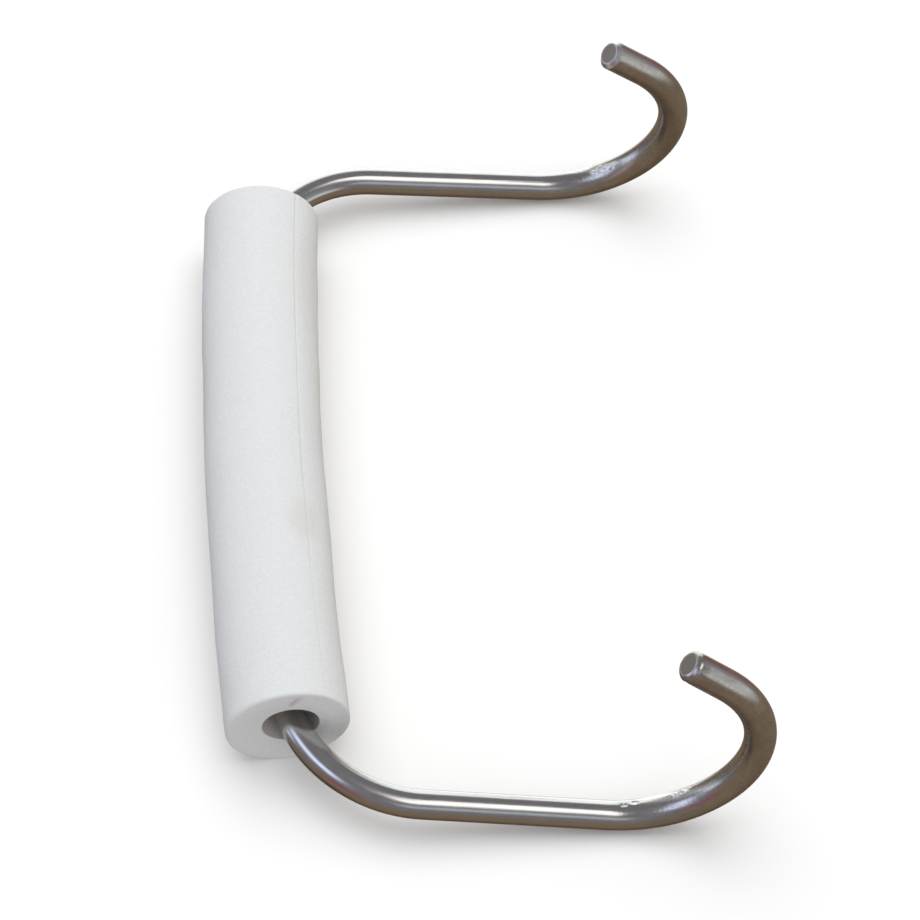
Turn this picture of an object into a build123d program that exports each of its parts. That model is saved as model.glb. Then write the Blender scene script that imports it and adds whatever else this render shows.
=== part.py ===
from build123d import *
import os
from math import cos, radians, sin

os.makedirs("parts", exist_ok=True)

# Sock aid: one bent round bar with two curled hooks, and a loose foam sleeve over its base.
# Lengths are in millimetres and angles in degrees.
# +Z is up, Y runs along the grip and the two arms point toward +X.
# The origin is on the ground, under the middle of the whole object.
# The object lies on its foam sleeve and on the undersides of its two hooks.

# Bar
bar_d = 8.0             # solid round bar
base_half = 66.0        # half of the straight length that runs through the sleeve
bend_r = 36.0           # centre-line radius of the bend between base and arm
bend_turn = 88.0        # each arm splays outward a little, so the turn is just short of square
arm_len = 48.0          # straight length between the two bends
hook_r = 32.5           # centre-line radius of the hook
hook_turn = 147.5       # the hook rises from the arm and curls back over it
hook_lean = 5.0         # the hooks lean toward each other
tip_len = 13.0          # short straight end after the hook
tip_chamfer = 0.6       # broken edge round each cut end

# Sleeve
foam_d = 32.0           # outer diameter
bore_d = 15.0           # loose on the bar
foam_len = 164.0        # end to end
foam_bow = 3.0          # the middle of the sleeve stands out behind the line between its ends
foam_rim = 1.6          # soft outer edge of each end
mouth_edge = 1.6        # opened edge of the bore
seam_r = 0.3            # narrow moulding seam along the sleeve
seam_up = 55.0          # where the seam runs, above the horizontal on the side of the arms

# Where the pieces lie
arm_slope = 6.6         # the arms slope down until the hooks touch the ground
base_x = -52.54         # base of the bar
base_z = 13.73          # the base rests low in the bore
sleeve_x = base_x + 1.6 # the bar's two bends push the sleeve toward the arms
sleeve_z = foam_d / 2   # the sleeve lies on the ground

# Bent frame: drawn from the middle of the base to one tip, then mirrored.
bar_plane = Plane(Location((base_x, 0, base_z), (0, arm_slope, 0)))

with BuildPart() as bent_frame:
    with BuildLine(bar_plane) as run:
        base = Line((0, 0), (0, base_half))
        bend = JernArc(base @ 1, base % 1, bend_r, -bend_turn)
        arm = Line(bend @ 1, (bend @ 1) + arm_len * (bend % 1))
    with BuildSketch(Plane(base @ 0, z_dir=base % 0)):
        Circle(bar_d / 2)
    sweep(path=run.wire())

    # The hook's plane holds the arm's direction and leans toward the middle.
    along = arm % 1
    upright = Vector(bar_plane.z_dir).rotate(Axis(arm @ 1, along), hook_lean)
    hook_plane = Plane(arm @ 1, x_dir=along, z_dir=along.cross(upright))
    with BuildLine(hook_plane) as hook:
        curl = JernArc((0, 0), (1, 0), hook_r, hook_turn)
        tip = Line(curl @ 1, (curl @ 1) + tip_len * (curl % 1))
    with BuildSketch(Plane(arm @ 1, z_dir=along)):
        Circle(bar_d / 2)
    sweep(path=hook.wire())

    mirror(about=Plane.XZ)
    tip_faces = bent_frame.faces().filter_by(GeomType.PLANE)
    chamfer(tip_faces.edges(), tip_chamfer)

# Foam grip: the outside bows a little, the bore is straight so that the sleeve can turn.
with BuildPart() as foam_grip:
    with BuildLine() as bow:
        ThreePointArc(
            (sleeve_x, -foam_len / 2, sleeve_z),
            (sleeve_x - foam_bow, 0, sleeve_z),
            (sleeve_x, foam_len / 2, sleeve_z),
        )
    end_plane = Plane(bow.line @ 0, z_dir=bow.line % 0)
    with BuildSketch(end_plane):
        Circle(foam_d / 2)
    sweep(path=bow.wire())
    rims = foam_grip.faces().filter_by(GeomType.PLANE).edges()
    fillet(rims, foam_rim)

    with BuildSketch(Plane((sleeve_x, 0, sleeve_z), z_dir=(0, 1, 0))):
        Circle(bore_d / 2)
    extrude(amount=foam_len, both=True, mode=Mode.SUBTRACT)
    ends = foam_grip.faces().filter_by(GeomType.PLANE)
    mouths = [face.inner_wires()[0].edges() for face in ends]
    chamfer(mouths[0] + mouths[1], mouth_edge)

    # The seam is a fine groove that follows the bow.
    seam_x = sleeve_x + foam_d / 2 * cos(radians(seam_up))
    seam_z = sleeve_z + foam_d / 2 * sin(radians(seam_up))
    with BuildLine() as seam:
        ThreePointArc(
            (seam_x, -foam_len / 2 - 2, seam_z),
            (seam_x - foam_bow, 0, seam_z),
            (seam_x, foam_len / 2 + 2, seam_z),
        )
    with BuildSketch(Plane(seam.line @ 0, z_dir=seam.line % 0)):
        Circle(seam_r)
    sweep(path=seam.wire(), mode=Mode.SUBTRACT)

for node, built in {"bent_frame": bent_frame, "foam_grip": foam_grip}.items():
    built.part.label = node
    export_step(built.part, f"parts/{node}.step")
    box = built.part.bounding_box()
    print(node, len(built.part.solids()), box.min, box.max, built.part.volume)
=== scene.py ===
import bpy
import bmesh
from math import cos, sin, pi, radians, degrees, asin, atan2, hypot
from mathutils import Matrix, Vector
from mathutils.kdtree import KDTree


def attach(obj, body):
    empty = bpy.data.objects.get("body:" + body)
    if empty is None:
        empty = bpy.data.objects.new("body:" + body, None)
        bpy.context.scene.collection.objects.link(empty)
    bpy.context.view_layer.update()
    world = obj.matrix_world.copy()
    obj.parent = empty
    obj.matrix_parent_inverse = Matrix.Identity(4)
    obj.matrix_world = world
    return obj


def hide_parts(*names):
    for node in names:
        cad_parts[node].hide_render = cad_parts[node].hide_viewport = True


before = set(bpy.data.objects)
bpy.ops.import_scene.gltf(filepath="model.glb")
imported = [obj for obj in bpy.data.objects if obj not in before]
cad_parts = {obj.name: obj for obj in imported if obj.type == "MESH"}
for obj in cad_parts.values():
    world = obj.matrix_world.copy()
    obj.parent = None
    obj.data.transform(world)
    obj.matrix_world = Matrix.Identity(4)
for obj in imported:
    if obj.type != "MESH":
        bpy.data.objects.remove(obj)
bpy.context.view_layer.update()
print("frame loaded")


# Small helpers for modelling

mergeDistance = 0.00001  # points closer than this are one point


def clearSelection():
    if bpy.context.object and bpy.context.object.mode != "OBJECT":
        bpy.ops.object.mode_set(mode="OBJECT")
    bpy.ops.object.select_all(action="DESELECT")


def makeActive(piece):
    clearSelection()
    piece.select_set(True)
    bpy.context.view_layer.objects.active = piece


def startRing(name, radius, points, place, turn):  # one open ring, left selected in edit mode
    clearSelection()
    bpy.ops.mesh.primitive_circle_add(vertices=points, radius=radius, fill_type="NOTHING",
                                      location=place, rotation=turn)
    piece = bpy.context.object
    piece.name = piece.data.name = name
    bpy.ops.object.transform_apply(location=True, rotation=True, scale=True)
    bpy.ops.object.mode_set(mode="EDIT")
    bpy.ops.mesh.select_all(action="SELECT")
    return piece


def pull(way, distance, steps):  # extrudes the selected ring in even steps
    move = Vector(way) * (distance / steps)
    for _ in range(steps):
        bpy.ops.mesh.extrude_region_move(TRANSFORM_OT_translate={"value": move})


def sweep(centre, axis, turn, steps):
    bpy.ops.mesh.spin(steps=steps, angle=-radians(turn), center=centre, axis=axis)


def shrinkRing(centre, factor):
    bpy.ops.mesh.extrude_region_move()
    bpy.ops.transform.resize(value=(factor, factor, factor), center_override=centre)


def selectWhere(piece, kind, wanted):  # selects vertices, edges or faces that answer to a test
    makeActive(piece)
    bpy.ops.object.mode_set(mode="EDIT")
    bpy.ops.mesh.select_mode(type=kind)
    bpy.ops.mesh.select_all(action="DESELECT")
    mesh = bmesh.from_edit_mesh(piece.data)
    for part in {"VERT": mesh.verts, "EDGE": mesh.edges, "FACE": mesh.faces}[kind]:
        if wanted(part):
            part.select_set(True)
    mesh.select_flush_mode()
    bmesh.update_edit_mesh(piece.data)
    return len([1 for v in mesh.verts if v.select])


def applyModifiers(piece):
    makeActive(piece)
    for modifier in list(piece.modifiers):
        bpy.ops.object.modifier_apply(modifier=modifier.name)


def finishMesh(piece, smoothAngle):
    applyModifiers(piece)
    bpy.ops.object.mode_set(mode="EDIT")
    bpy.ops.mesh.select_all(action="SELECT")
    bpy.ops.mesh.remove_doubles(threshold=mergeDistance)
    bpy.ops.mesh.normals_make_consistent(inside=False)
    bpy.ops.object.mode_set(mode="OBJECT")
    bpy.ops.object.shade_smooth_by_angle(angle=radians(smoothAngle))


def addNoiseTexture(name, size, depth=2):
    texture = bpy.data.textures.new(name, type="CLOUDS")
    texture.noise_scale = size
    texture.noise_depth = depth
    return texture


def displace(piece, name, texture, strength, group=None, middle=0.5):
    layer = piece.modifiers.new(name, "DISPLACE")
    layer.texture = texture
    layer.strength = strength
    layer.mid_level = middle
    layer.texture_coords = "LOCAL"
    if group:
        layer.vertex_group = group
    return layer


def smoothStep(low, high, value):
    part = min(1.0, max(0.0, (value - low) / (high - low)))
    return part * part * (3 - 2 * part)


def giveGroup(piece, name, weights):
    group = piece.vertex_groups.new(name=name)
    for index, weight in enumerate(weights):
        if weight > 0.001:
            group.add([index], weight, "REPLACE")


def giveAttribute(piece, name, kind, values):
    layer = piece.data.attributes.new(name, kind, "POINT")
    if kind == "FLOAT":
        layer.data.foreach_set("value", values)
    else:
        layer.data.foreach_set("vector", [number for value in values for number in value])


def boxOf(piece):  # lowest and highest corners, for the printed notes
    spots = [vertex.co for vertex in piece.data.vertices]
    return [[round(pick(spot[i] for spot in spots), 5) for i in range(3)] for pick in (min, max)]


# Bent bar

barShape = {
    "barRadius": 0.0039,
    "baseHalf": 0.066,
    "bendRadius": 0.036,
    "bendTurn": 88.0,
    "armLength": 0.048,
    "hookRadius": 0.0325,
    "hookTurn": 147.5,
    "hookLean": 5.0,
    "tipLength": 0.013,
    "tipEdge": 0.0009,
    "nearTipRound": 0.0004,
    "edgeBand": 0.0002,
    "edgeMark": 0.35,
    "cutRing": 0.84,
    "innerRing": 0.5,
    "hookSwell": 0.00025,
    "swellFrom": (0.170, 0.190),
    "armSlope": 6.6,
    "basePlace": (-0.05254, 0, 0.01373),
    "ringPoints": 96,
    "stepLength": 0.0015,
    "baseSteps": 16,
    "lineSpacing": 0.00025,
    "lineOverrun": 0.001,
    "smoothAngle": 30,
    "sharpAngle": 20,
}


def barRoute(shape):  # the middle line's corners and ways, on the far side, with the bar lying flat
    turn, lean, hookAngle = (radians(shape[name]) for name in ("bendTurn", "hookLean", "hookTurn"))
    along = Vector((sin(turn), cos(turn), 0))
    side = Vector((-along.y, along.x, 0))
    upright = Vector((0, 0, 1)) * cos(lean) - side * sin(lean)
    bendCentre = Vector((shape["bendRadius"], shape["baseHalf"], 0))
    armStart = bendCentre + Vector((-cos(turn), sin(turn), 0)) * shape["bendRadius"]
    armEnd = armStart + along * shape["armLength"]
    hookCentre = armEnd + upright * shape["hookRadius"]
    hookEnd = hookCentre + (along * sin(hookAngle) - upright * cos(hookAngle)) * shape["hookRadius"]
    tipWay = along * cos(hookAngle) + upright * sin(hookAngle)
    return {"along": along, "upright": upright, "bendCentre": bendCentre, "armEnd": armEnd,
            "hookCentre": hookCentre, "hookEnd": hookEnd, "tipWay": tipWay}


def middleLine(shape, route):
    # points of the middle line: place, way, upper side, and length from the base's middle
    line = []
    lengths = {"base": shape["baseHalf"], "bend": shape["bendRadius"] * radians(shape["bendTurn"]),
               "arm": shape["armLength"], "hook": shape["hookRadius"] * radians(shape["hookTurn"]),
               "tip": shape["tipLength"] + shape["lineOverrun"]}
    up, start = Vector((0, 0, 1)), 0.0
    for part, length in lengths.items():
        steps = round(length / shape["lineSpacing"])
        for step in range(steps):
            run = length * step / steps
            if part == "base":
                place, way, top = Vector((0, run, 0)), Vector((0, 1, 0)), up
            elif part == "bend":
                angle = run / shape["bendRadius"]
                place = route["bendCentre"] + Vector((-cos(angle), sin(angle), 0)) * shape["bendRadius"]
                way, top = Vector((sin(angle), cos(angle), 0)), up
            elif part == "arm":
                place, way = route["armEnd"] - route["along"] * (length - run), route["along"]
                top = route["upright"]
            elif part == "hook":
                angle = run / shape["hookRadius"]
                top = route["upright"] * cos(angle) - route["along"] * sin(angle)
                way = route["along"] * cos(angle) + route["upright"] * sin(angle)
                place = route["hookCentre"] - top * shape["hookRadius"]
            else:
                place, way = route["hookEnd"] + route["tipWay"] * run, route["tipWay"]
            line.append((place, way, top, start + run))
        start += length
    return line


def buildBar(shape):
    route = barRoute(shape)
    step, radius = shape["stepLength"], shape["barRadius"]
    piece = startRing("bentBar", radius, shape["ringPoints"], (0, 0, 0), (pi / 2, 0, 0))
    pull((0, 1, 0), shape["baseHalf"], shape["baseSteps"])
    sweep(route["bendCentre"], (0, 0, -1), shape["bendTurn"],
          round(shape["bendRadius"] * radians(shape["bendTurn"]) / step))
    pull(route["along"], shape["armLength"], round(shape["armLength"] / step))
    sweep(route["hookCentre"], route["along"].cross(route["upright"]), shape["hookTurn"],
          round(shape["hookRadius"] * radians(shape["hookTurn"]) / step))
    straight = shape["tipLength"] - shape["tipEdge"] - shape["edgeBand"]
    pull(route["tipWay"], straight, round(straight / step))
    pull(route["tipWay"], shape["edgeBand"], 1)
    pull(route["tipWay"], shape["tipEdge"], 1)
    tipEnd = route["hookEnd"] + route["tipWay"] * shape["tipLength"]
    edge = (radius - shape["tipEdge"]) / radius
    bpy.ops.transform.resize(value=(edge, edge, edge), center_override=tipEnd)
    shrinkRing(tipEnd, shape["cutRing"])
    shrinkRing(tipEnd, shape["innerRing"])
    bpy.ops.mesh.edge_face_add()
    bpy.ops.object.mode_set(mode="OBJECT")
    mirror = piece.modifiers.new("otherSide", "MIRROR")
    mirror.use_axis = (False, True, False)
    mirror.merge_threshold = mergeDistance
    finishMesh(piece, shape["smoothAngle"])
    return piece, route


bar, barWay = buildBar(barShape)
print("bar drawn", len(bar.data.vertices))


def onFarSide(spot):  # the middle line is the far half's, so a near point is mirrored to it
    return Vector((spot.x, abs(spot.y), spot.z))


def measureAlong(piece, line):  # each vertex's length along the bar, negative on the near side, and angle
    tree = KDTree(len(line))
    for index, (place, _, _, _) in enumerate(line):
        tree.insert(place, index)
    tree.balance()
    skin = []
    for vertex in piece.data.vertices:
        side = -1.0 if vertex.co.y < 0 else 1.0
        spot = onFarSide(vertex.co)
        _, index, _ = tree.find(spot)
        place, way, top, length = line[index]
        out = spot - place
        ahead = out.dot(way)
        out -= way * ahead
        skin.append((side * (length + ahead), atan2(out.dot(way.cross(top)), out.dot(top))))
    return skin


barLine = middleLine(barShape, barWay)


toolMarks = {
    # name: (length along from the base's middle, half length, angle from the top, half width, kind)
    "farGouge": (0.1925, 0.0062, 0, 20, "gouge"),
    "farScuff": (0.1840, 0.0050, -26, 17, "scuff"),
    "nearGouge": (-0.1912, 0.0044, 17, 18, "gouge"),
    "nearDotA": (-0.1743, 0.0011, 8, 10, "dent"),
    "nearDotB": (-0.1776, 0.0013, 19, 11, "dent"),
    "nearScuff": (-0.1835, 0.0065, 38, 17, "scuff"),
}
markRelief = {
    # kind: (noise size, push outwards, the noise level that stays in place)
    "gouge": (0.0009, 0.00095, 0.42),
    "dent": (None, -0.00028, 0.0),
    "scuff": (0.0006, 0.00022, 0.5),
}
markMesh = {
    "alongFrom": 0.168,
    "alongTo": 0.201,
    "longEdge": 0.0004,
    "cuts": 3,
    "fadeFrom": 0.55,
}


def refineMarks(piece, line, rings):  # closer rings where the tool marks are
    skin = measureAlong(piece, line)

    def lengthwise(edge):
        first, second = (abs(skin[v.index][0]) for v in edge.verts)
        inside = all(rings["alongFrom"] < length < rings["alongTo"] for length in (first, second))
        return inside and abs(first - second) > rings["longEdge"]
    selectWhere(piece, "EDGE", lengthwise)
    bpy.ops.mesh.subdivide(number_cuts=rings["cuts"])
    bpy.ops.object.mode_set(mode="OBJECT")


def markWeights(skin, marks, kinds):
    weights = []
    for length, angle in skin:
        weight = 0.0
        for middle, halfLength, around, halfWidth, kind in marks.values():
            if kind in kinds and middle * length > 0:
                away = angle - radians(around)
                far = hypot((length - middle) / halfLength, away / radians(halfWidth))
                weight = max(weight, 1 - smoothStep(markMesh["fadeFrom"], 1.0, far))
        weights.append(weight)
    return weights


def roundNearTip(piece, line, shape):  # the near tip's edges are worn, the far tip's are crisp
    skin = measureAlong(piece, line)
    barEnd = max(length for length, _ in skin)
    tipFrom = shape["tipEdge"] + shape["edgeBand"] / 2 - barEnd
    selectWhere(piece, "EDGE", lambda edge: all(skin[v.index][0] < tipFrom for v in edge.verts)
                and edge.calc_face_angle(0) > radians(shape["sharpAngle"]))
    bpy.ops.mesh.bevel(offset=shape["nearTipRound"], segments=3, profile=0.5, affect="EDGES")
    bpy.ops.object.mode_set(mode="OBJECT")


def tipMasks(piece, skin, route, shape):  # the flat cut faces, and the broken edge round the far one
    tipEnd = route["hookEnd"] + route["tipWay"] * shape["tipLength"]
    slack = shape["edgeBand"] / 10
    cutRadius = (shape["barRadius"] - shape["tipEdge"]) * shape["cutRing"] + slack
    edgeReach = hypot(shape["barRadius"], shape["tipEdge"]) + slack
    fromTip = [(onFarSide(vertex.co) - tipEnd).length for vertex in piece.data.vertices]
    cutFaces = [1.0 if distance < cutRadius else 0.0 for distance in fromTip]
    brokenEdge = [cutRadius < distance < edgeReach and length > 0
                  for distance, (length, _) in zip(fromTip, skin)]
    return cutFaces, brokenEdge


def dressBar(piece, line, route, shape):
    roundNearTip(piece, line, shape)
    refineMarks(piece, line, markMesh)
    skin = measureAlong(piece, line)
    cutFaces, brokenEdge = tipMasks(piece, skin, route, shape)
    swell = [smoothStep(*shape["swellFrom"], abs(length)) for length, _ in skin]
    giveGroup(piece, "hook", swell)
    displace(piece, "hookSwell", None, shape["hookSwell"], "hook", 0.0)
    for kind, (noiseSize, push, level) in markRelief.items():
        giveGroup(piece, kind, markWeights(skin, toolMarks, (kind,)))
        texture = addNoiseTexture(kind + "Noise", noiseSize, 1) if noiseSize else None
        displace(piece, kind + "Relief", texture, push, kind, level)
    applyModifiers(piece)
    giveAttribute(piece, "barSkin", "FLOAT_VECTOR",
                  [(cos(angle), sin(angle), length) for length, angle in skin])
    marks = [shape["edgeMark"] if broken else mark
             for broken, mark in zip(brokenEdge, markWeights(skin, toolMarks, tuple(markRelief)))]
    giveAttribute(piece, "toolMark", "FLOAT", marks)
    giveAttribute(piece, "hookPart", "FLOAT", swell)
    giveAttribute(piece, "cutFace", "FLOAT", cutFaces)
    piece.rotation_euler = (0, radians(shape["armSlope"]), 0)
    piece.location = shape["basePlace"]
    bpy.ops.object.transform_apply(location=True, rotation=True, scale=True)
    bpy.ops.object.shade_smooth_by_angle(angle=radians(shape["smoothAngle"]))


dressBar(bar, barLine, barWay, barShape)
print("bar placed", boxOf(bar))


# Foam sleeve

foamShape = {
    "radius": 0.016,
    "boreRadius": 0.0071,
    "length": 0.1652,
    "bow": 0.003,
    "place": (-0.05094, 0, 0.016),
    "slideAlong": 0.0013,
    "nearRimEdge": 0.0006,
    "farRimEdge": 0.0013,
    "nearMouthEdge": 0.0003,
    "farMouthEdge": 0.0007,
    "nearOpening": 0.0005,
    "farOpening": 0.0017,
    "seamAngle": 55.0,
    "seamWidth": 0.00026,
    "seamDepth": 0.00020,
    # how near the seam a point counts as on it, before and after cutting: radians round, metres deep
    "seamReach": (0.004, 0.0004),
    "grooveReach": (0.002, 0.0006),
    "seamFade": (-0.9, 0.0),
    "faintSeam": 0.45,
    "ringPoints": 96,
    "stepLength": 0.0018,
    "faceRings": (0.0139, 0.0130, 0.0120, 0.0110, 0.0100, 0.0090, 0.0082),
    "boreCuts": 60,
    "loopSlack": 0.0003,
    "skinFrom": (0.0095, 0.014),
    # the lumps and the dimples: noise size, detail and height
    "lump": (0.022, 1, 0.0006),
    "dimple": (0.005, 2, 0.00012),
    "nearFlare": 0.0007,
    "flareTurn": 215,
    "flareReach": 0.045,
    "nearLean": 0.0005,
    "leanReach": 0.070,
    "nearOpeningFrom": (0.006, 0.0008),
    "farOpeningFrom": (0.016, 0.0015),
    # how far out from the bore's wall the openings and the bore's painted shade fade away
    "openingBlend": (0.0008, 0.0034),
    "boreBlend": (-0.0001, 0.0012),
    "flat": 0.00005,
    "smoothAngle": 60,
}
creaseShape = {
    # a short slanting crease in the near end face: angle and half width in degrees, the rest in metres
    "angle": 87,
    "halfWidth": 6.5,
    "slant": 2600,
    "middleRadius": 0.0115,
    "outerFade": (0.0150, 0.0124),
    "innerFade": (0.0086, 0.0106),
    "faceDepth": 0.0016,
    "depth": 0.0005,
}


def buildSleeve(shape):
    half = shape["length"] / 2
    bowRadius = (half ** 2 + shape["bow"] ** 2) / (2 * shape["bow"])
    halfTurn = asin(half / bowRadius)
    points = shape["ringPoints"]
    # the near end's ring, turned so that one of its points lies on the seam
    offset = radians(shape["seamAngle"]) % (2 * pi / points)
    clearSelection()
    bpy.ops.mesh.primitive_circle_add(vertices=points, radius=shape["radius"], fill_type="NOTHING",
                                      location=(0, 0, 0), rotation=(0, 0, offset))
    piece = bpy.context.object
    piece.name = piece.data.name = "foamSleeve"
    bpy.ops.object.transform_apply(location=True, rotation=True, scale=True)
    piece.rotation_euler = (pi / 2, 0, halfTurn)
    piece.location = (0, -half, 0)
    bpy.ops.object.transform_apply(location=True, rotation=True, scale=True)
    bpy.ops.object.mode_set(mode="EDIT")
    bpy.ops.mesh.select_all(action="SELECT")
    centre = (bowRadius - shape["bow"], 0, 0)
    sweep(centre, (0, 0, -1), degrees(2 * halfTurn), round(shape["length"] / shape["stepLength"]))
    return piece


sleeve = buildSleeve(foamShape)


def closeSleeve(piece, shape):  # both end faces, then the bore between them
    half = shape["length"] / 2
    for end in (-1, 1):
        selectWhere(piece, "EDGE", lambda edge: edge.is_boundary and edge.verts[0].co.y * end > 0)
        rings = (shape["radius"], *shape["faceRings"], shape["boreRadius"])
        for last, radius in zip(rings, rings[1:]):
            shrinkRing((0, end * half, 0), radius / last)
        bpy.ops.object.mode_set(mode="OBJECT")
    selectWhere(piece, "EDGE", lambda edge: edge.is_boundary)
    # the bore stays straight, so that the sleeve clears the bar all the way round
    bpy.ops.mesh.bridge_edge_loops(number_cuts=shape["boreCuts"], interpolation="LINEAR")
    bpy.ops.mesh.select_all(action="SELECT")
    bpy.ops.mesh.normals_make_consistent(inside=False)
    bpy.ops.object.mode_set(mode="OBJECT")


def aroundSleeve(spot, shape):  # angle from the arm side upwards, and distance from the middle line
    half = shape["length"] / 2
    lean = shape["bow"] * (1 - (spot.y / half) ** 2)
    return atan2(spot.z, spot.x + lean), hypot(spot.z, spot.x + lean)


def roundRims(piece, shape):
    half = shape["length"] / 2
    tilt = sin(2 * shape["bow"] / half)  # the end faces stand square to the bowed middle line
    bore, slack = shape["boreRadius"], shape["loopSlack"]
    for end, radius, offset in ((-1, shape["radius"], shape["nearRimEdge"]),
                                (1, shape["radius"], shape["farRimEdge"]),
                                (-1, bore, shape["nearMouthEdge"]), (1, bore, shape["farMouthEdge"])):
        def onLoop(vertex):
            spot = vertex.co
            away = abs(abs(spot.y) - (half - spot.x * tilt))
            return away < slack and abs(hypot(spot.x, spot.z) - radius) < slack and spot.y * end >= 0
        selectWhere(piece, "EDGE", lambda edge: all(onLoop(v) for v in edge.verts))
        bpy.ops.mesh.bevel(offset=offset, segments=4, profile=0.5, affect="EDGES")
        bpy.ops.object.mode_set(mode="OBJECT")


def cutSeam(piece, shape):  # the groove is fainter towards the near end
    def onSeam(vertex, turn, depth):
        angle, far = aroundSleeve(vertex.co, shape)
        return abs(angle - radians(shape["seamAngle"])) < turn and far > shape["radius"] - depth
    print("seam points", selectWhere(
        piece, "EDGE", lambda edge: all(onSeam(v, *shape["seamReach"]) for v in edge.verts)))
    bpy.ops.mesh.bevel(offset=shape["seamWidth"] / 2, segments=2, profile=0.5, affect="EDGES")
    bpy.ops.object.mode_set(mode="OBJECT")
    faint, half = shape["faintSeam"], shape["length"] / 2
    weights = []
    for vertex in piece.data.vertices:
        strength = faint + (1 - faint) * smoothStep(*shape["seamFade"], vertex.co.y / half)
        weights.append(strength if onSeam(vertex, *shape["grooveReach"]) else 0.0)
    giveGroup(piece, "seam", weights)


closeSleeve(sleeve, foamShape)
roundRims(sleeve, foamShape)
cutSeam(sleeve, foamShape)
finishMesh(sleeve, foamShape["smoothAngle"])
print("sleeve drawn", len(sleeve.data.vertices), boxOf(sleeve))


def sleeveWeights(spot, shape, crease):  # how much of each soft change one point of the sleeve takes
    half = shape["length"] / 2
    angle, far = aroundSleeve(spot, shape)
    fromNear, fromFar = half + spot.y, half - spot.y
    outside = smoothStep(*shape["skinFrom"], far)
    leftward = 0.5 + 0.5 * cos(angle - radians(shape["flareTurn"]))
    inner = 1 - smoothStep(*shape["openingBlend"], hypot(spot.x, spot.z) - shape["boreRadius"])
    wideNear = smoothStep(*shape["nearOpeningFrom"], fromNear) * shape["nearOpening"]
    wideFar = smoothStep(*shape["farOpeningFrom"], fromFar) * shape["farOpening"]
    turned = degrees(angle) - crease["angle"] + (far - crease["middleRadius"]) * crease["slant"]
    inFace = max(0.0, 1 - abs(turned) / crease["halfWidth"]) if fromNear < crease["faceDepth"] else 0.0
    return {
        "outside": outside,
        "nearFlare": outside * leftward * smoothStep(shape["flareReach"], 0, fromNear),
        "nearLean": outside * smoothStep(shape["leanReach"], 0, fromNear),
        "openings": inner * max(wideFar, wideNear) / shape["farOpening"],
        "crease": inFace * smoothStep(*crease["outerFade"], far) * smoothStep(*crease["innerFade"], far),
        "boreWall": 1 - smoothStep(*shape["boreBlend"], far - shape["boreRadius"]),
    }


def softenSleeve(piece, shape, crease):
    weights = [sleeveWeights(vertex.co, shape, crease) for vertex in piece.data.vertices]
    for name in ("outside", "nearFlare", "nearLean", "openings", "crease"):
        giveGroup(piece, name, [weight[name] for weight in weights])
    for name, group, push in (("seamPush", "seam", -shape["seamDepth"]),
                              ("flare", "nearFlare", shape["nearFlare"]),
                              ("lean", "nearLean", -shape["nearLean"]),
                              ("openings", "openings", -shape["farOpening"]),
                              ("crease", "crease", -crease["depth"])):
        displace(piece, name, None, push, group, 0.0)
    piece.modifiers["lean"].direction = "X"
    for name in ("lump", "dimple"):
        size, detail, height = shape[name]
        displace(piece, name, addNoiseTexture(name + "Noise", size, detail), height, "outside")
    applyModifiers(piece)
    for name, group in (("boreWall", "boreWall"), ("creaseLine", "crease")):
        giveAttribute(piece, name, "FLOAT", [weight[group] for weight in weights])


def flattenUnderside(piece, shape):  # the sleeve rests on the floor along a flat strip
    rest = shape["flat"] - shape["radius"]
    selectWhere(piece, "VERT", lambda vertex: vertex.co.z < rest)
    bpy.ops.transform.resize(value=(1, 1, 0), center_override=(0, 0, rest))
    bpy.ops.object.mode_set(mode="OBJECT")


def placeSleeve(piece, shape):
    skin = []
    for vertex in piece.data.vertices:
        angle, far = aroundSleeve(vertex.co, shape)
        fromSeam = angle - radians(shape["seamAngle"])
        skin.append((atan2(sin(fromSeam), cos(fromSeam)) / pi, vertex.co.y * 2 / shape["length"],
                     far / shape["radius"]))
    giveAttribute(piece, "sleeveSkin", "FLOAT_VECTOR", skin)
    seamGroup = piece.vertex_groups["seam"].index
    seam = [sum(entry.weight for entry in vertex.groups if entry.group == seamGroup)
            for vertex in piece.data.vertices]
    giveAttribute(piece, "seamLine", "FLOAT", seam)
    finer = piece.modifiers.new("finer", "SUBSURF")
    finer.levels = finer.render_levels = 1
    applyModifiers(piece)
    x, y, z = shape["place"]
    piece.location = (x, y + shape["slideAlong"], z)
    bpy.ops.object.transform_apply(location=True, rotation=True, scale=True)
    bpy.ops.object.shade_smooth()


softenSleeve(sleeve, foamShape, creaseShape)
flattenUnderside(sleeve, foamShape)
placeSleeve(sleeve, foamShape)
print("sleeve placed", len(sleeve.data.polygons), boxOf(sleeve))

for piece, body, node, slot in ((bar, "frame", "bent_frame", "bar"), (sleeve, "grip", "foam_grip", "foam")):
    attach(piece, body)
    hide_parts(node)


# Finishes

def newMaterial(name):
    material = bpy.data.materials.new(name)
    material.use_nodes = True
    tree = material.node_tree
    return material, tree, tree.nodes["Principled BSDF"]


def addNode(tree, kind, **values):
    node = tree.nodes.new(kind)
    for name, value in values.items():
        if name in node.inputs:
            node.inputs[name].default_value = value
        else:
            setattr(node, name, value)
    return node


def addAttribute(tree, name, output="Fac"):
    node = tree.nodes.new("ShaderNodeAttribute")
    node.attribute_name = name
    return node.outputs[output]


def addMath(tree, operation, *values):
    node = tree.nodes.new("ShaderNodeMath")
    node.operation = operation
    for socket, value in zip(node.inputs, values):
        if isinstance(value, (int, float)):
            socket.default_value = value
        else:
            tree.links.new(value, socket)
    return node.outputs[0]


def splitVector(tree, vector):
    node = tree.nodes.new("ShaderNodeSeparateXYZ")
    tree.links.new(vector, node.inputs[0])
    return node.outputs


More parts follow.
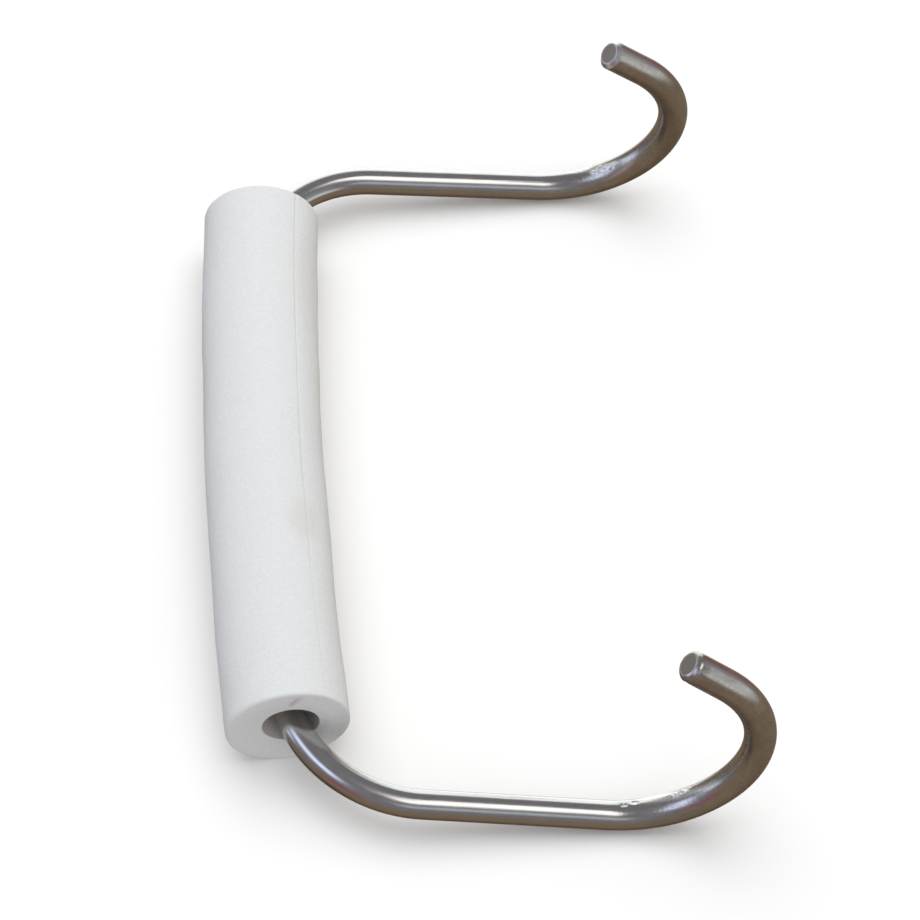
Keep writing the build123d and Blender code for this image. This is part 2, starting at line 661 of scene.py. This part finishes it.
def addMix(tree, factor, first, second):  # colours mixed by a mask
    node = tree.nodes.new("ShaderNodeMix")
    node.data_type = "RGBA"
    tree.links.new(factor, node.inputs[0])
    for socket, value in ((node.inputs[6], first), (node.inputs[7], second)):
        if isinstance(value, tuple):
            socket.default_value = (*value, 1)
        else:
            tree.links.new(value, socket)
    return node.outputs[2]


def addNoise(tree, vector, scale, detail=2.0, roughness=0.5):
    node = addNode(tree, "ShaderNodeTexNoise", Scale=scale, Detail=detail, Roughness=roughness)
    tree.links.new(vector, node.inputs["Vector"])
    return node.outputs["Fac"]


def makeMottle():  # a patchy mask between two levels of noise, which the steel and the foam share
    group = bpy.data.node_groups.new("mottle", "ShaderNodeTree")
    for name in ("Vector", "Scale", "Detail", "Roughness", "Low", "High"):
        kind = "NodeSocketVector" if name == "Vector" else "NodeSocketFloat"
        group.interface.new_socket(name=name, in_out="INPUT", socket_type=kind)
    group.interface.new_socket(name="Mask", in_out="OUTPUT", socket_type="NodeSocketFloat")
    given, result = group.nodes.new("NodeGroupInput"), group.nodes.new("NodeGroupOutput")
    noise, mask = group.nodes.new("ShaderNodeTexNoise"), group.nodes.new("ShaderNodeMapRange")
    mask.interpolation_type = "SMOOTHSTEP"
    for name in ("Vector", "Scale", "Detail", "Roughness"):
        group.links.new(given.outputs[name], noise.inputs[name])
    group.links.new(noise.outputs["Fac"], mask.inputs["Value"])
    group.links.new(given.outputs["Low"], mask.inputs["From Min"])
    group.links.new(given.outputs["High"], mask.inputs["From Max"])
    group.links.new(mask.outputs["Result"], result.inputs["Mask"])
    return group


def addMottle(tree, vector, scale, detail, roughness, low, high):
    node = tree.nodes.new("ShaderNodeGroup")
    node.node_tree = mottle
    for name, value in (("Scale", scale), ("Detail", detail), ("Roughness", roughness),
                        ("Low", low), ("High", high)):
        node.inputs[name].default_value = value
    tree.links.new(vector, node.inputs["Vector"])
    return node.outputs["Mask"]


def addRange(tree, value, low, high, newLow=0.0, newHigh=1.0):
    node = tree.nodes.new("ShaderNodeMapRange")
    node.interpolation_type = "SMOOTHSTEP"
    for name, number in (("From Min", low), ("From Max", high), ("To Min", newLow), ("To Max", newHigh)):
        node.inputs[name].default_value = number
    tree.links.new(value, node.inputs["Value"])
    return node.outputs["Result"]


def addBump(tree, height, strength, distance, under=None):
    node = addNode(tree, "ShaderNodeBump", Strength=strength, Distance=distance)
    tree.links.new(height, node.inputs["Height"])
    if under:
        tree.links.new(under, node.inputs["Normal"])
    return node.outputs["Normal"]


mottle = makeMottle()

steelFinish = {
    "armColor": (0.52, 0.52, 0.51),
    "hookColor": (0.44, 0.42, 0.39),
    "markColor": (0.97, 0.97, 0.95),
    "streakColor": (0.60, 0.59, 0.575),
    "streakFrom": (0.3, 0.75),
    "roughFrom": (0.3, 0.7),
    "cutColor": (0.33, 0.29, 0.25),
    # painted shade and painted brown floor reflection on the bar's underside, fading out on the hooks
    "underShadeColor": (0.36, 0.30, 0.24),
    "underShadeFrom": (-0.2, -0.95),
    "underShadeStrength": 0.8,
    "armRoughness": (0.16, 0.24),
    "hookRoughness": (0.21, 0.30),
    "markRoughens": 0.2,
    "cutRoughens": 0.17,
    # drawing lines: stretch along the bar, then scale, detail and roughness of the noise
    "drawnStretch": (1.0, 1.0, 9.0),
    "drawn": (26.0, 3.0, 0.6),
    # mottles: scale, detail, roughness, low and high
    "cloud": (180.0, 3.0, 0.55, 0.35, 0.80),
    "grain": (1500.0, 2.0, 0.5, 0.15, 0.85),
    "fleck": (700.0, 3.0, 0.7, 0.3, 0.7),
    "bumpHeight": 0.00004,
    "lineBump": 0.12,
    "grainBump": 0.3,
    "armGrain": 0.15,
    "hookGrain": 0.60,
}


def makeSteel(look):
    material, tree, shader = newMaterial("satinSteel")
    skin = addAttribute(tree, "barSkin", "Vector")
    hook = addAttribute(tree, "hookPart")
    mark = addAttribute(tree, "toolMark")
    place = tree.nodes.new("ShaderNodeTexCoord").outputs["Object"]
    stretch = addNode(tree, "ShaderNodeMapping", Scale=look["drawnStretch"])
    tree.links.new(skin, stretch.inputs["Vector"])
    drawn = addNoise(tree, stretch.outputs["Vector"], *look["drawn"])
    cloud, grain, fleck = (addMottle(tree, place, *look[name]) for name in ("cloud", "grain", "fleck"))
    shade = addMix(tree, hook, look["armColor"], look["hookColor"])
    streaked = addMix(tree, addRange(tree, drawn, *look["streakFrom"]), shade, look["streakColor"])
    uneven = addMix(tree, cloud, streaked, shade)
    # painted shade and painted floor reflection: the side facing down is darkened brown, except on the
    # hooks
    top, _, _ = splitVector(tree, skin)
    under = addMath(tree, "MULTIPLY", addRange(tree, top, *look["underShadeFrom"]),
                    addMath(tree, "SUBTRACT", look["underShadeStrength"], hook))
    underShaded = addMix(tree, under, uneven, look["underShadeColor"])
    cut = addAttribute(tree, "cutFace")
    faced = addMix(tree, cut, underShaded, look["cutColor"])
    marked = addMix(tree, mark, faced, look["markColor"])
    tree.links.new(marked, shader.inputs["Base Color"])
    armRough = addRange(tree, drawn, *look["roughFrom"], *look["armRoughness"])
    hookRough = addRange(tree, fleck, 0.0, 1.0, *look["hookRoughness"])
    spread = addMath(tree, "SUBTRACT", hookRough, armRough)
    rough = addMath(tree, "MULTIPLY_ADD", spread, hook, armRough)
    lift = addMath(tree, "MULTIPLY", mark, look["markRoughens"])
    lift = addMath(tree, "MULTIPLY_ADD", cut, look["cutRoughens"], lift)
    tree.links.new(addMath(tree, "ADD", rough, lift), shader.inputs["Roughness"])
    lines = addBump(tree, drawn, look["lineBump"], look["bumpHeight"])
    grainHere = addMath(tree, "MULTIPLY_ADD", hook, look["hookGrain"] - look["armGrain"], look["armGrain"])
    soft = addMath(tree, "MULTIPLY", grain, grainHere)
    tree.links.new(addBump(tree, soft, look["grainBump"], look["bumpHeight"], lines),
                   shader.inputs["Normal"])
    shader.inputs["Metallic"].default_value = 1.0
    return material


foamFinish = {
    "color": (0.72, 0.742, 0.755),
    "shadeColor": (0.680, 0.696, 0.710),
    "seamColor": (0.60, 0.58, 0.55),
    "stainAndShadeColor": (0.63, 0.60, 0.55),
    # stains, and a painted warm shade down the right side (the last entry): turn from the seam in half
    # turns, place along, spread round, spread along, strength
    "stainsAndRightShade": ((0.03, -0.33, 0.11, 0.085, 0.42), (0.70, 0.33, 0.12, 0.32, 0.50),
                (-0.10, 0.62, 0.10, 0.20, 0.30), (-0.30, -0.05, 0.13, 1.30, 0.45)),
    "stainAndShadePatches": 1.6,
    "stainAndShadeFade": (1.3, -0.3),
    # painted shade in the crease of the near end face
    "creaseShadeColor": (0.45, 0.42, 0.48),
    "creaseShadeStrength": 0.9,
    # painted shade: the bore's wall is a little darker and warmer than the outside
    "boreShadeColor": (0.68, 0.66, 0.645),
    "roughness": 0.85,
    "shine": 0.3,
    "glow": 0.12,
    "glowColor": (1.0, 0.95, 0.9),
    "glowDepth": 0.002,
    "cellScale": 1500.0,
    # mottles: scale, detail, roughness, low and high
    "speckle": (1100.0, 3.0, 0.7, 0.35, 0.7),
    "cloud": (60.0, 3.0, 0.6, 0.1, 0.9),
    # bumps: strength and height
    "cellBump": (0.35, 0.00015),
    "cloudBump": (0.25, 0.0008),
}


def makeFoam(look):
    material, tree, shader = newMaterial("whiteFoam")
    place = tree.nodes.new("ShaderNodeTexCoord").outputs["Object"]
    skin = addAttribute(tree, "sleeveSkin", "Vector")
    seam = addAttribute(tree, "seamLine")
    cells = addNode(tree, "ShaderNodeTexVoronoi", Scale=look["cellScale"])
    tree.links.new(place, cells.inputs["Vector"])
    speckle, cloud = (addMottle(tree, place, *look[name]) for name in ("speckle", "cloud"))
    shade = addMix(tree, speckle, look["shadeColor"], look["color"])
    turned, along, _ = splitVector(tree, skin)
    # the first three patches are stains; the last paints warm shade down the sleeve's right side
    for turn, spot, wide, long, strength in look["stainsAndRightShade"]:
        across = addMath(tree, "DIVIDE", addMath(tree, "SUBTRACT", turned, turn), wide)
        lengthwise = addMath(tree, "DIVIDE", addMath(tree, "SUBTRACT", along, spot), long)
        far = addMath(tree, "ADD", addMath(tree, "MULTIPLY", across, across),
                      addMath(tree, "MULTIPLY", lengthwise, lengthwise))
        patchy = addMath(tree, "MULTIPLY_ADD", cloud, look["stainAndShadePatches"],
                         addMath(tree, "SUBTRACT", far, look["stainAndShadePatches"] / 2))
        stainAndShadeMask = addRange(tree, patchy, *look["stainAndShadeFade"], 0.0, strength)
        shade = addMix(tree, stainAndShadeMask, shade, look["stainAndShadeColor"])
    seamed = addMix(tree, seam, shade, look["seamColor"])
    # painted shade darkens the crease in the near end face
    crease = addMath(tree, "MULTIPLY", addAttribute(tree, "creaseLine"), look["creaseShadeStrength"])
    creaseShaded = addMix(tree, crease, seamed, look["creaseShadeColor"])
    # painted shade inside the bore
    boreShaded = addMix(tree, addAttribute(tree, "boreWall"), creaseShaded, look["boreShadeColor"])
    tree.links.new(boreShaded, shader.inputs["Base Color"])
    fine = addBump(tree, cells.outputs["Distance"], *look["cellBump"])
    tree.links.new(addBump(tree, cloud, *look["cloudBump"], fine), shader.inputs["Normal"])
    for name, value in (("Roughness", look["roughness"]), ("Specular IOR Level", look["shine"]),
                        ("Subsurface Weight", look["glow"]), ("Subsurface Radius", look["glowColor"]),
                        ("Subsurface Scale", look["glowDepth"])):
        shader.inputs[name].default_value = value
    return material


for piece, material in ((bar, makeSteel(steelFinish)), (sleeve, makeFoam(foamFinish))):
    piece.data.materials.clear()
    piece.data.materials.append(material)
print("finishes made")


# Floor, light and camera

studio = {
    "floorSize": 8.0,
    "floorColor": (0.96, 0.96, 0.96),
    "floorRoughness": 0.9,
    "floorShine": 0.1,
    "skyWhite": (1.0, 1.0, 1.0),
    # what lights the foam and the floor: from above, the left, the right, the front and below
    "fillUp": (0.62, 0.63, 0.64),
    "fillLeft": (0.53, 0.52, 0.56),
    "fillRight": (0.86, 0.80, 0.70),
    "fillFront": (1.05, 1.02, 1.03),
    "fillDown": (0.33, 0.31, 0.29),
    # where one fill fades into the next, by the direction's part along an axis
    "leftToRight": (-0.8, 0.8),
    "sidesToFront": (-0.2, -0.9),
    "sidesToUp": (0.05, 0.9),
    "sidesToDown": (0.0, -0.7),
    # what the steel mirrors where no soft box stands
    "roomColor": (0.255, 0.24, 0.26),
    "groundColor": (0.275, 0.206, 0.142),
    "deepColor": (0.15, 0.105, 0.07),
    # elevations between which one colour fades into the next
    "groundEdge": (8.0, -14.0),
    "deepEdge": (-40.0, -75.0),
    # soft boxes that the steel mirrors: azimuth from +X, elevation, half width, half height, colour
    "softBoxes": {
        "rightWall": (0, 14, 34, 22, (0.34, 0.35, 0.37)),
        "rightGlow": (-17, 3, 29, 8, (0.98, 1.0, 1.0)),
        "dimCorner": (50, 34, 11, 9, (0.20, 0.185, 0.20)),
        "redShade": (42, -10, 12, 11, (0.34, 0.13, 0.14)),
        "backLeft": (132, 24, 24, 14, (0.62, 0.66, 0.66)),
        "backWindow": (85, -5, 22, 32, (1.72, 1.78, 1.76)),
        "overhead": (-33, 67, 44, 10, (2.3, 2.25, 2.2)),
        "frontStrip": (-72, 32, 20, 8, (0.66, 0.72, 0.78)),
        "duskyCorner": (165, -18, 34, 10, (0.215, 0.195, 0.20)),
        "darkCorner": (-172, -57, 34, 14, (0.11, 0.078, 0.062)),
        "lowWindow": (168, 6, 18, 9, (1.35, 1.50, 1.95)),
        "coolWindow": (-158, 39, 24, 11, (1.35, 1.5, 2.0)),
        "rosyCorner": (-131, 1, 12, 12, (0.36, 0.13, 0.18)),
    },
    "boxSoftness": 7.0,
    # lamps that shade the foam and the floor: direction, distance, size, watts, colour
    "lamps": {
        "mainLamp": ((-0.10, 0.30, 1.0), 1.6, 2.0, 17, (1.0, 1.0, 0.99)),
    },
    "target": (0.0, 0.0, 0.03),
}


def makeFloor(look):
    clearSelection()
    bpy.ops.mesh.primitive_plane_add(size=look["floorSize"], location=(0, 0, 0))
    floor = bpy.context.object
    floor.name = floor.data.name = "paleFloor"
    material, _, shader = newMaterial("palePaper")
    shader.inputs["Base Color"].default_value = (*look["floorColor"], 1)
    shader.inputs["Roughness"].default_value = look["floorRoughness"]
    shader.inputs["Specular IOR Level"].default_value = look["floorShine"]
    floor.data.materials.append(material)
    floor.visible_glossy = floor.visible_diffuse = False


def boxMask(tree, azimuth, elevation, box, softness):  # a soft-edged window in the room's walls
    middleAzimuth, middleElevation, halfWidth, halfHeight, _ = box
    turned = addMath(tree, "WRAP", addMath(tree, "SUBTRACT", azimuth, radians(middleAzimuth)), pi, -pi)
    across = addRange(tree, addMath(tree, "ABSOLUTE", turned),
                      radians(halfWidth + softness), radians(halfWidth - softness))
    up = addMath(tree, "ABSOLUTE", addMath(tree, "SUBTRACT", elevation, radians(middleElevation)))
    upward = addRange(tree, up, radians(halfHeight + softness), radians(halfHeight - softness))
    return addMath(tree, "MULTIPLY", across, upward)


def makeRoom(look):
    world = bpy.context.scene.world or bpy.data.worlds.new("room")
    bpy.context.scene.world = world
    world.use_nodes = True
    tree = world.node_tree
    tree.nodes.clear()
    way = tree.nodes.new("ShaderNodeSeparateXYZ")
    tree.links.new(tree.nodes.new("ShaderNodeTexCoord").outputs["Generated"], way.inputs[0])
    azimuth = addMath(tree, "ARCTAN2", way.outputs[1], way.outputs[0])
    elevation = addMath(tree, "ARCSINE", way.outputs[2])
    ground = addRange(tree, elevation, *(radians(edge) for edge in look["groundEdge"]))
    room = addMix(tree, ground, look["roomColor"], look["groundColor"])
    deep = addRange(tree, elevation, *(radians(edge) for edge in look["deepEdge"]))
    room = addMix(tree, deep, room, look["deepColor"])
    for box in look["softBoxes"].values():
        room = addMix(tree, boxMask(tree, azimuth, elevation, box, look["boxSoftness"]), room, box[4])
    path = tree.nodes.new("ShaderNodeLightPath")
    seen = addNode(tree, "ShaderNodeBackground", Color=(*look["skyWhite"], 1), Strength=1.0)
    mirrored = addNode(tree, "ShaderNodeBackground", Strength=1.0)
    tree.links.new(room, mirrored.inputs["Color"])
    around = look["fillLeft"]
    for axis, fade, color in ((0, "leftToRight", "fillRight"), (1, "sidesToFront", "fillFront"),
                              (2, "sidesToUp", "fillUp"), (2, "sidesToDown", "fillDown")):
        around = addMix(tree, addRange(tree, way.outputs[axis], *look[fade]), around, look[color])
    fill = addNode(tree, "ShaderNodeBackground", Strength=1.0)
    tree.links.new(around, fill.inputs["Color"])
    glossy, camera = tree.nodes.new("ShaderNodeMixShader"), tree.nodes.new("ShaderNodeMixShader")
    tree.links.new(path.outputs["Is Glossy Ray"], glossy.inputs[0])
    tree.links.new(fill.outputs[0], glossy.inputs[1])
    tree.links.new(mirrored.outputs[0], glossy.inputs[2])
    tree.links.new(path.outputs["Is Camera Ray"], camera.inputs[0])
    tree.links.new(glossy.outputs[0], camera.inputs[1])
    tree.links.new(seen.outputs[0], camera.inputs[2])
    output = tree.nodes.new("ShaderNodeOutputWorld")
    tree.links.new(camera.outputs[0], output.inputs["Surface"])


def addLamp(name, direction, distance, size, watts, color, target):
    light = bpy.data.lights.new(name, "AREA")
    light.shape, light.size, light.energy, light.color = "DISK", size, watts, color
    lamp = bpy.data.objects.new(name, light)
    bpy.context.collection.objects.link(lamp)
    way = Vector(direction).normalized()
    lamp.location = Vector(target) + way * distance
    lamp.rotation_euler = way.to_track_quat("Z", "Y").to_euler()
    lamp.visible_glossy = False


makeFloor(studio)
makeRoom(studio)
for name, settings in studio["lamps"].items():
    addLamp(name, *settings, studio["target"])

viewpoint = {
    "place": (-0.10737, -0.54916, 0.82970),
    "turn": (34.2618, -4.4933, -4.4110),
    "lens": 142.36,
    "sensor": 36.0,
}


def makeCamera(view):
    optics = bpy.data.cameras.new("viewCamera")
    optics.lens, optics.sensor_width = view["lens"], view["sensor"]
    camera = bpy.data.objects.new("viewCamera", optics)
    camera.location = view["place"]
    camera.rotation_euler = [radians(angle) for angle in view["turn"]]
    bpy.context.collection.objects.link(camera)
    bpy.context.scene.camera = camera


makeCamera(viewpoint)
bpy.context.scene.view_settings.view_transform = "Standard"
print("floor, light and camera set")
